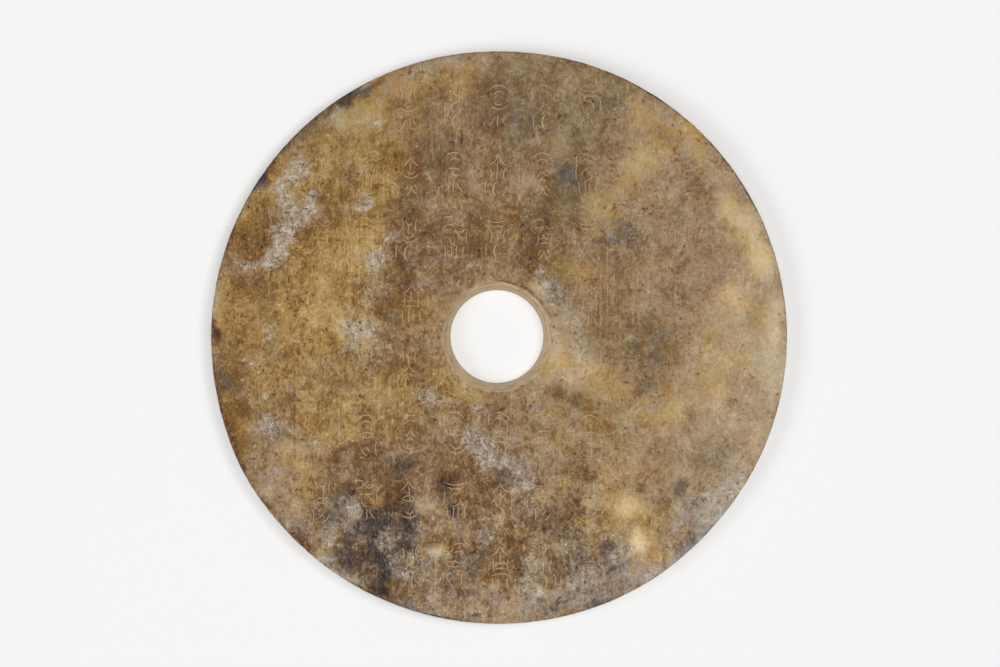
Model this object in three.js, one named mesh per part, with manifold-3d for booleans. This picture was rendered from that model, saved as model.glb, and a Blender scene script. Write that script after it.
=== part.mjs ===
// A jade bi disc: one flat piece of stone, ground round by hand, drilled through from its upper
// face and incised there with rows of short strokes. It lies on its underside, on the XY plane,
// with the centre of its rim on the Z axis. Units are millimetres, and +Z is up.
import * as THREE from "three";
import { mergeVertices } from "three/addons/utils/BufferGeometryUtils.js";
import Module from "manifold-3d";

// The blank
const DISC_RADIUS = 110;
const THICKNESS = 8;
const EDGE_ROUNDING = 0.9;
const RIM_SIDES = 120;
// Hand grinding leaves the rim a little oval, fuller in one place and flatter in two others.
const OVAL = { swell: 0.25, longAxis: 11 };
const GRINDING = [
  { at: 208, width: 10, rise: 0.5 },
  { at: 319, width: 12, rise: -0.4 },
  { at: 88, width: 13, rise: -0.35 },
];

// The bore, drilled from above with a tube and sand, so that it narrows downwards. The core was
// snapped out, which left a narrow ledge round the bottom, and the lip at the top has worn away.
const BORE_CENTRE = new THREE.Vector2(-0.8, 0.2);
const LEDGE = { radius: 17.6, height: 0.8, slope: 0.2 };
const WALL_RADIUS = { bottom: 18, top: 19.2 };
const LIP = { radius: 20.6, depth: 1.3 };
const BORE_SIDES = 72;
const OVERSHOOT = 1;

// Chips along the top edges: where each one sits, in degrees, and its half length along the edge,
// half depth into it and half height
const LIP_CHIPS = [
  { at: 84, size: [3.2, 1.1, 0.9] },
  { at: 71, size: [2.4, 0.9, 0.8] },
  { at: 57, size: [3.6, 1.5, 1.1] },
  { at: 43, size: [2.8, 1.2, 0.8] },
  { at: 29, size: [2.2, 0.8, 0.7] },
  { at: 201, size: [1.8, 0.6, 0.6] },
];
const RIM_CHIPS = [
  { at: -29, size: [1.6, 0.7, 1.0] },
  { at: -34, size: [2.3, 0.9, 1.2] },
  { at: -38.5, size: [1.4, 0.6, 0.8] },
  { at: -43, size: [2.0, 0.9, 1.4] },
  { at: -48, size: [1.5, 0.7, 0.9] },
  { at: 37, size: [1.7, 0.5, 0.8] },
  { at: 52, size: [1.4, 0.5, 0.7] },
  { at: 139, size: [2.1, 0.6, 0.9] },
  { at: 214, size: [2.4, 0.8, 1.1] },
];

// The inscribed field: rows and columns of marks, each in a cell of its own
const ROW_PITCH = 25;
const COLUMN_PITCH = 17;
const MARK_HALF = new THREE.Vector2(5, 8.5);
// Columns in each row, counted from the middle one. The rows lie alike above and below the bore,
// and the first pair leaves out the columns that the bore takes.
const ROWS = [
  { from: 2, to: 5 },
  { from: 0, to: 5 },
  { from: 0, to: 4 },
  { from: 0, to: 2 },
];
// A stroke is a V-shaped cut. Its cutter stands proud of the face by the clearance, and has a
// straight length for every step of its curve, in degrees.
const STROKE = { width: 0.5, depth: 0.24, clearance: 0.05, step: 55 };

// What a mark is made of, in three tiers of two strokes. Each stroke is part of an ellipse: its
// centre and its half axes, in halves of the mark's width and height, and the angles that it
// starts and stops at.
const HEADS = [
  [[0, 0.35, 0.9, 0.6, 165, 15], [0, 0.3, 0.5, 0.38, 160, 20]],
  [[-1, 1, 1, 0.6, -5, -80], [1, 1, 1, 0.6, 185, 260]],
  [[-0.8, 0.4, 0.75, 0.55, 100, 10], [0.8, 0.4, 0.75, 0.55, 80, 170]],
  [[0.15, 0.15, 1.1, 0.8, 150, 65], [0.1, -0.1, 0.85, 0.8, 150, 60]],
  [[-0.75, 0.6, 0.3, 0.36, 70, -60], [0.75, 0.6, 0.3, 0.36, 110, 240]],
  [[-0.45, 0.78, 0.4, 0.2, 190, 10], [0.4, 0.78, 0.4, 0.2, 170, 350]],
  [[0.1, 1.15, 1.2, 0.5, 215, 320], [0.05, 0.9, 1, 0.45, 215, 325]],
];
const BODIES = [
  [[0, 0.32, 0.75, 0.45, 195, 345], [0, 0.34, 0.38, 0.28, 195, 345]],
  [[0.05, -1.1, 1.7, 1.3, 114, 68], [-0.05, -1.38, 1.5, 1.3, 114, 68]],
  [[-0.95, 0.02, 0.5, 0.4, 60, -60], [0.95, 0.02, 0.5, 0.4, 120, 240]],
  [[0, -0.3, 0.8, 0.45, 145, 35], [0, 0.35, 0.8, 0.45, 215, 325]],
  [[-0.2, 0.02, 0.6, 0.3, 100, -30], [0.25, -0.02, 0.6, 0.3, 280, 150]],
  [[-0.75, 0.3, 0.75, 0.4, -75, -10], [0.75, 0.3, 0.75, 0.4, 190, 255]],
  [[-0.7, 0, 0.2, 0.3, 80, -80], [0.7, 0, 0.2, 0.3, 100, 260]],
];
const FEET = [
  [[-1.05, -0.32, 0.8, 0.62, -5, -75], [1.05, -0.32, 0.8, 0.62, 185, 255]],
  [[-0.85, -0.62, 0.2, 0.36, 80, -60], [0.85, -0.62, 0.2, 0.36, 100, 240]],
  [[0, -0.38, 0.85, 0.5, 200, 340], [0, -0.36, 0.45, 0.32, 200, 340]],
  [[-0.2, -0.62, 0.5, 0.36, 95, -80], [0, -0.62, 0.24, 0.3, 110, -95]],
  [[0, -1.35, 1.6, 1, 122, 60], [-0.6, -0.78, 0.16, 0.3, 60, -60]],
  [[-0.2, -0.35, 0.75, 0.6, 270, 350], [-0.3, -0.35, 0.4, 0.35, 265, 350]],
  [[-0.5, -0.35, 0.5, 0.55, 0, -95], [0.5, -0.35, 0.5, 0.55, 180, 275]],
];

// How far a mark strays from its cell: in size, in place and in degrees of lean
const STRAY = { size: 0.08, place: 0.7, lean: 3 };
// The strokes are cut firmly at the left and have worn faint towards the right-hand rim.
const WEAR = { firm: 1, faint: 0.55, from: 0, to: 90 };
// Each mark's chances: its row and column give a seed, and each thing decided has its own number.
const SEEDS_PER_ROW = 31;
const DECIDES = { head: 1, body: 2, foot: 3, size: 4, lean: 5, across: 6, along: 7, turn: 8 };

const STONE = new THREE.MeshStandardMaterial({ color: 0x92795b, roughness: 0.55, metalness: 0 });
STONE.name = "nephrite";
const MERGE_WITHIN = 1e-4;

const wasm = await Module();
wasm.setup();

// A repeatable number from 0 to 1 for each seed and purpose
function chance(seed, purpose) {
  const wave = Math.sin(seed * 12.9898 + purpose * 78.233) * 43758.5453;
  return wave - Math.floor(wave);
}

function rimRadius(degrees) {
  const oval = OVAL.swell * Math.cos(2 * THREE.MathUtils.degToRad(degrees - OVAL.longAxis));
  const grinding = GRINDING.map(({ at, width, rise }) => {
    const apart = THREE.MathUtils.euclideanModulo(degrees - at + 180, 360) - 180;
    return rise * Math.exp(-((apart / width) ** 2));
  });
  return DISC_RADIUS + oval + grinding.reduce((sum, one) => sum + one, 0);
}

function onCircle(radius, degrees) {
  const angle = THREE.MathUtils.degToRad(degrees);
  return new THREE.Vector2(radius * Math.cos(angle), radius * Math.sin(angle));
}

function blank() {
  const rim = Array.from({ length: RIM_SIDES }, (_, side) => {
    const degrees = (360 * side) / RIM_SIDES;
    return onCircle(rimRadius(degrees), degrees);
  });
  const settings = {
    depth: THICKNESS - 2 * EDGE_ROUNDING,
    bevelThickness: EDGE_ROUNDING,
    bevelSize: EDGE_ROUNDING,
    bevelOffset: -EDGE_ROUNDING,
    bevelSegments: 2,
  };
  return new THREE.ExtrudeGeometry(new THREE.Shape(rim), settings).translate(0, 0, EDGE_ROUNDING);
}

function boreCutter() {
  const profile = [
    [0, -OVERSHOOT],
    [LEDGE.radius, -OVERSHOOT],
    [LEDGE.radius, LEDGE.height],
    [WALL_RADIUS.bottom, LEDGE.height + LEDGE.slope],
    [WALL_RADIUS.top, THICKNESS - LIP.depth],
    [LIP.radius, THICKNESS],
    [LIP.radius, THICKNESS + OVERSHOOT],
    [0, THICKNESS + OVERSHOOT],
  ];
  const points = profile.map(([radius, height]) => new THREE.Vector2(radius, height));
  return new THREE.LatheGeometry(points, BORE_SIDES)
    .rotateX(Math.PI / 2)
    .translate(BORE_CENTRE.x, BORE_CENTRE.y, 0);
}

// A chip is cut by a rough faceted ellipsoid, longest along the edge that it is struck from.
function chipCutter({ at, size }, edgeRadius, centre) {
  const [length, depth, height] = size;
  const place = onCircle(edgeRadius, at).add(centre);
  return new THREE.IcosahedronGeometry(1, 0)
    .scale(depth, length, height)
    .rotateZ(THREE.MathUtils.degToRad(at))
    .translate(place.x, place.y, THICKNESS);
}

// The points along a stroke, in halves of the mark's width and height. Turn is -1 for a mark that
// is drawn the other way round.
function strokePoints([x, y, halfWidth, halfHeight, from, to], turn) {
  const steps = Math.max(2, Math.ceil(Math.abs(to - from) / STROKE.step));
  return Array.from({ length: steps + 1 }, (_, step) => {
    const angle = THREE.MathUtils.degToRad(THREE.MathUtils.lerp(from, to, step / steps));
    return new THREE.Vector2(turn * (x + halfWidth * Math.cos(angle)), y + halfHeight * Math.sin(angle));
  });
}

// A V-shaped cutter along the points. It rises out of the face at both ends, so the cut tapers.
// Between its two tips it has three corners at each point: left, bottom and right.
function strokeCutter(points, strength) {
  const depth = STROKE.depth * strength;
  const half = (STROKE.width / 2) * strength * (1 + STROKE.clearance / depth);
  const above = THICKNESS + STROKE.clearance;
  const last = points.length - 1;
  const corners = [new THREE.Vector3(points[0].x, points[0].y, above)];
  for (let at = 1; at < last; at += 1) {
    const { x, y } = points[at];
    const along = points[at + 1].clone().sub(points[at - 1]).setLength(half);
    corners.push(new THREE.Vector3(x - along.y, y + along.x, above));
    corners.push(new THREE.Vector3(x, y, THICKNESS - depth));
    corners.push(new THREE.Vector3(x + along.y, y - along.x, above));
  }
  corners.push(new THREE.Vector3(points[last].x, points[last].y, above));

  const tip = corners.length - 1;
  const faces = [[0, 1, 2], [0, 2, 3], [0, 3, 1]];
  for (let section = 1; section + 3 < tip; section += 3) {
    for (let side = 0; side < 3; side += 1) {
      const a = section + side;
      const b = section + ((side + 1) % 3);
      faces.push([a, b + 3, b], [a, a + 3, b + 3]);
    }
  }
  faces.push([tip, tip - 2, tip - 3], [tip, tip - 1, tip - 2], [tip, tip - 3, tip - 1]);
  const geometry = new THREE.BufferGeometry().setFromPoints(corners);
  geometry.setIndex(faces.flat());
  return geometry;
}

// The strokes of one mark: a head, a body and a foot
function markStrokes(seed) {
  const draw = (forms, purpose) => forms[Math.floor(chance(seed, purpose) * forms.length)];
  return [...draw(HEADS, DECIDES.head), ...draw(BODIES, DECIDES.body), ...draw(FEET, DECIDES.foot)];
}

function markCutters(row, column) {
  const seed = row * SEEDS_PER_ROW + column;
  const stray = (purpose) => 2 * chance(seed, purpose) - 1;
  const size = 1 + STRAY.size * stray(DECIDES.size);
  const lean = THREE.MathUtils.degToRad(STRAY.lean * stray(DECIDES.lean));
  const centre = new THREE.Vector2(
    column * COLUMN_PITCH + STRAY.place * stray(DECIDES.across),
    row * ROW_PITCH + STRAY.place * stray(DECIDES.along),
  );
  const worn = THREE.MathUtils.smoothstep(centre.x, WEAR.from, WEAR.to);
  const strength = THREE.MathUtils.lerp(WEAR.firm, WEAR.faint, worn);
  const turn = stray(DECIDES.turn) < 0 ? -1 : 1;
  const middle = new THREE.Vector2();
  const place = (point) =>
    point.multiply(MARK_HALF).multiplyScalar(size).rotateAround(middle, lean).add(centre);
  return markStrokes(seed).map((stroke) => strokeCutter(strokePoints(stroke, turn).map(place), strength));
}

function inscriptionCutters() {
  const cutters = [];
  ROWS.forEach(({ from, to }, index) => {
    for (const row of [index + 0.5, -index - 0.5]) {
      for (let column = -to; column <= to; column += 1) {
        if (Math.abs(column) >= from) {
          cutters.push(...markCutters(row, column));
        }
      }
    }
  });
  return cutters;
}

function toSolid(geometry) {
  const bare = geometry.clone();
  bare.deleteAttribute("normal");
  bare.deleteAttribute("uv");
  const merged = mergeVertices(bare, MERGE_WITHIN);
  return new wasm.Manifold(new wasm.Mesh({
    numProp: 3,
    vertProperties: Float32Array.from(merged.attributes.position.array),
    triVerts: Uint32Array.from(merged.index.array),
  }));
}

function toGeometry(solid) {
  const { vertProperties, triVerts } = solid.getMesh();
  const geometry = new THREE.BufferGeometry();
  geometry.setAttribute("position", new THREE.BufferAttribute(vertProperties, 3));
  geometry.setIndex(new THREE.BufferAttribute(triVerts, 1));
  const faceted = geometry.toNonIndexed();
  faceted.computeVertexNormals();
  return faceted;
}

function biDisc() {
  const middle = new THREE.Vector2();
  const cutters = [
    boreCutter(),
    ...LIP_CHIPS.map((chip) => chipCutter(chip, LIP.radius, BORE_CENTRE)),
    ...RIM_CHIPS.map((chip) => chipCutter(chip, rimRadius(chip.at), middle)),
    ...inscriptionCutters(),
  ];
  const cut = cutters.map(toSolid).reduce((whole, one) => whole.add(one));
  const mesh = new THREE.Mesh(toGeometry(toSolid(blank()).subtract(cut)), STONE);
  mesh.name = "bi_disc";
  return mesh;
}

const group = new THREE.Group();
group.add(biDisc());

export default group;
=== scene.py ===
"""A jade bi disc, lying face up under soft light.

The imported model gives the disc's place, thickness and width. The finished piece is modelled here
over it, with the same outline, bore, chips and strokes, and takes its place. Everything is in
metres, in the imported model's frame.
"""

import math

import bpy
import numpy as np
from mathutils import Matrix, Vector, noise


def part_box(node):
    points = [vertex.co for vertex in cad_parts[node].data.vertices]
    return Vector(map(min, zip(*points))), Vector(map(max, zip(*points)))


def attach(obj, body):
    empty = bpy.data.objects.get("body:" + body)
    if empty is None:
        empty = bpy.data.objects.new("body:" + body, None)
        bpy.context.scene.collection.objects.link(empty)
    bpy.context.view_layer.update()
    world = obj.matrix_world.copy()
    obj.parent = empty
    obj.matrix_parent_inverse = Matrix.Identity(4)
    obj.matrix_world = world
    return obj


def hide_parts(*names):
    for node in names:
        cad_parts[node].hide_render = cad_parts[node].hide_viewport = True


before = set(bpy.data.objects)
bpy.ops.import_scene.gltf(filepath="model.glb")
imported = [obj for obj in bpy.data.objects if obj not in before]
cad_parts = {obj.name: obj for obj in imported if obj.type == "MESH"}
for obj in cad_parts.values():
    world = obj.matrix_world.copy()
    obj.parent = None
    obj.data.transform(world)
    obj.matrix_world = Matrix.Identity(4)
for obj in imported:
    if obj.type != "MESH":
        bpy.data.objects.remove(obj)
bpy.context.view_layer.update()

MM = 0.001

# ---------------------------------------------------------------------------------------------
# The disc's own sizes, in millimetres as a maker would give them
# ---------------------------------------------------------------------------------------------
LOW, HIGH = (Vector(corner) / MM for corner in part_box("bi_disc"))
TOP = HIGH.z
OVAL_SWELL = 0.25
OVAL_LONG_AXIS = 11
RADIUS = (HIGH.x - LOW.x) / 2 - OVAL_SWELL * math.cos(math.radians(2 * OVAL_LONG_AXIS))
# Hand grinding: where the rim is fuller or flatter, over what width in degrees, and by how much
GRINDING = [(208, 10, 0.5), (319, 12, -0.4), (88, 13, -0.35)]
RIM_ROUNDING = 0.9

BORE_CENTRE = Vector((-0.8, 0.2))
LEDGE_RADIUS, LEDGE_HEIGHT, LEDGE_SLOPE = 17.75, 0.8, 0.2
WALL_BOTTOM_RADIUS, WALL_TOP_RADIUS = 18.0, 19.2
LIP_RADIUS, LIP_DEPTH = 20.6, 1.3
# The lip is most broken round this angle, over this width
LIP_BROKEN_AT, LIP_BROKEN_OVER = 55, 38

CHIP_ROUGHNESS = 0.5
# Chips on the top edges: where, in degrees, then half length, half depth and half height
LIP_CHIPS = [
    (84, 3.2, 1.1, 0.9),
    (71, 2.4, 0.9, 0.8),
    (57, 3.6, 1.5, 1.1),
    (43, 2.8, 1.2, 0.8),
    (29, 2.2, 0.8, 0.7),
    (201, 1.8, 0.6, 0.6),
]
RIM_CHIPS = [
    (-29, 1.6, 0.7, 1.0),
    (-34, 2.3, 0.9, 1.2),
    (-38.5, 1.4, 0.6, 0.8),
    (-43, 2.0, 0.9, 1.4),
    (-48, 1.5, 0.7, 0.9),
    (37, 1.7, 0.5, 0.8),
    (52, 1.4, 0.5, 0.7),
    (139, 2.1, 0.6, 0.9),
    (214, 2.4, 0.8, 1.1),
]

PIT_DEPTH, PIT_ROUGHNESS = 0.4, 0.2
# Pits in the upper face: where, then half length, half width and the turn of the length
PITS = [
    (21.7, 8.4, 1.1, 0.5, -20), (21.1, 3.9, 0.8, 0.35, 80), (20.2, -1.4, 0.9, 0.3, 80),
    (15.4, 20.4, 0.9, 0.4, -40), (8, -18.6, 1.1, 0.4, 10), (12, 25, 0.7, 0.4, 30),
    (-17, -16.2, 0.7, 0.4, 50), (26.5, 12.5, 0.6, 0.3, 60), (-80, 38.6, 0.7, 0.5, 20),
    (-77.5, 40.2, 0.5, 0.4, 0), (-71.5, 48.6, 0.6, 0.4, 0), (-36.5, 26, 0.6, 0.3, 80),
    (-47, -66.5, 0.9, 0.5, 10), (33, -13.5, 0.7, 0.4, 80), (76, -14, 0.6, 0.4, 30),
    (5, -30, 0.6, 0.3, 80), (-50, -45.5, 0.8, 0.4, 60), (-8, 33, 0.6, 0.4, 0), (-93, -12, 0.6, 0.4, 90),
    (61, -44, 0.5, 0.3, 40),
]

# ---------------------------------------------------------------------------------------------
# The inscribed field
# ---------------------------------------------------------------------------------------------
ROW_PITCH, COLUMN_PITCH = 25, 17
MARK_HALF_WIDTH, MARK_HALF_HEIGHT = 5, 8.5
ROWS = [(2, 5), (0, 5), (0, 4), (0, 2)]
STROKE_HALF_WIDTH = 0.25
STROKE_POINTS = 13
STROKE_TREMOR = 0.09
STRAY_SIZE, STRAY_PLACE, STRAY_LEAN = 0.08, 0.7, 3
WEAR_FROM, WEAR_TO, WORN_STRENGTH = 0, 90, 0.55
SEEDS_PER_ROW = 31
# Where rubbing has taken the pale dust out of the strokes: the middle, the half width and height,
# and how much of it has gone
RUBBED_CLEAN = [(-82, -10, 24, 40, 0.7), (-78, 50, 18, 20, 0.4), (95, 0, 25, 45, 0.3)]
HEAD, BODY, FOOT, SIZE, LEAN, ACROSS, ALONG, TURN, TREMOR = range(1, 10)

# A mark is a head, a body and a foot, and none is a letter. Each stroke is part of an ellipse:
# its centre and half axes, in halves of the mark, and the angles that it starts and stops at.
FORMS = {
    HEAD: [
        [(0, 0.35, 0.9, 0.6, 165, 15), (0, 0.3, 0.5, 0.38, 160, 20)],
        [(-1, 1, 1, 0.6, -5, -80), (1, 1, 1, 0.6, 185, 260), (0, 0.2, 0.04, 0.4, 80, -20)],
        [(-0.8, 0.4, 0.75, 0.55, 100, 10), (0.8, 0.4, 0.75, 0.55, 80, 170),
         (0, 0.85, 0.04, 0.35, 30, -90)],
        [(0.15, 0.15, 1.1, 0.8, 150, 65), (0.1, -0.1, 0.85, 0.8, 150, 60),
         (0.75, 0.62, 0.12, 0.3, 90, -80)],
        [(-0.75, 0.6, 0.3, 0.36, 70, -60), (0.75, 0.6, 0.3, 0.36, 110, 240),
         (0, 0.8, 0.25, 0.2, 170, 400), (0.02, 0.42, 0.04, 0.25, 90, -90)],
        [(-0.45, 0.78, 0.4, 0.2, 190, 10), (0.4, 0.78, 0.4, 0.2, 170, 350),
         (-0.4, 0.45, 0.4, 0.16, 180, 10), (0.4, 0.45, 0.4, 0.16, 180, 340)],
        [(0.1, 1.15, 1.2, 0.5, 215, 320), (0.05, 0.9, 1, 0.45, 215, 325), (0, 0.36, 0.3, 0.14, 30, 330)],
    ],
    BODY: [
        [(0, 0.32, 0.75, 0.45, 195, 345), (0, 0.34, 0.38, 0.28, 195, 345)],
        [(0.05, -1.1, 1.7, 1.3, 114, 68), (-0.05, -1.38, 1.5, 1.3, 114, 68),
         (0.1, -0.02, 0.06, 0.12, 90, -90)],
        [(-0.95, 0.02, 0.5, 0.4, 60, -60), (0.95, 0.02, 0.5, 0.4, 120, 240),
         (0, 0.02, 0.05, 0.28, 90, -90)],
        [(0, -0.3, 0.8, 0.45, 145, 35), (0, 0.35, 0.8, 0.45, 215, 325), (0.02, 0.03, 0.05, 0.1, 90, -90)],
        [(-0.2, 0.02, 0.6, 0.3, 100, -30), (0.25, -0.02, 0.6, 0.3, 280, 150),
         (0.85, 0.05, 0.06, 0.3, 90, -90)],
        [(-0.75, 0.3, 0.75, 0.4, -75, -10), (0.75, 0.3, 0.75, 0.4, 190, 255),
         (-0.5, -0.08, 0.5, 0.2, -80, -10), (0.5, -0.08, 0.5, 0.2, 190, 260)],
        [(-0.7, 0, 0.2, 0.3, 80, -80), (0.7, 0, 0.2, 0.3, 100, 260), (-0.05, -0.4, 0.9, 0.5, 125, 55),
         (0.05, -0.62, 0.9, 0.5, 125, 55)],
    ],
    FOOT: [
        [(-1.05, -0.32, 0.8, 0.62, -5, -75), (1.05, -0.32, 0.8, 0.62, 185, 255),
         (0, -0.66, 0.05, 0.3, 90, -90)],
        [(-0.85, -0.62, 0.2, 0.36, 80, -60), (0.85, -0.62, 0.2, 0.36, 100, 240),
         (-0.3, -0.62, 0.12, 0.38, 85, -70), (0.3, -0.62, 0.12, 0.38, 95, 250)],
        [(0, -0.38, 0.85, 0.5, 200, 340), (0, -0.36, 0.45, 0.32, 200, 340),
         (0.04, -0.82, 0.05, 0.16, 90, -90)],
        [(-0.2, -0.62, 0.5, 0.36, 95, -80), (0, -0.62, 0.24, 0.3, 110, -95),
         (0.75, -0.6, 0.15, 0.35, 100, -60)],
        [(0, -1.35, 1.6, 1, 122, 60), (-0.6, -0.78, 0.16, 0.3, 60, -60),
         (0.7, -0.78, 0.14, 0.3, 110, 250), (0.1, -0.78, 0.08, 0.3, 70, -70)],
        [(-0.2, -0.35, 0.75, 0.6, 270, 350), (-0.3, -0.35, 0.4, 0.35, 265, 350),
         (-0.75, -0.65, 0.1, 0.32, 90, -80)],
        [(-0.5, -0.35, 0.5, 0.55, 0, -95), (0.5, -0.35, 0.5, 0.55, 180, 275),
         (-0.55, -0.35, 0.3, 0.3, 0, -95), (0.55, -0.35, 0.3, 0.3, 180, 275)],
    ],
}


# ---------------------------------------------------------------------------------------------
# The stone's clouds
# ---------------------------------------------------------------------------------------------
# How ragged the clouds' edges are: the size of the tongues, and how far they reach
RAGGED = [(7, 2.4), (3, 1.2)]
# A cloud is full up to the first of these, and gone at the second, as shares of its half width
CLOUD_CORE, CLOUD_END = 0.25, 1.3
# How much of the clouds comes through to the underside
THROUGH = 0.55
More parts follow.
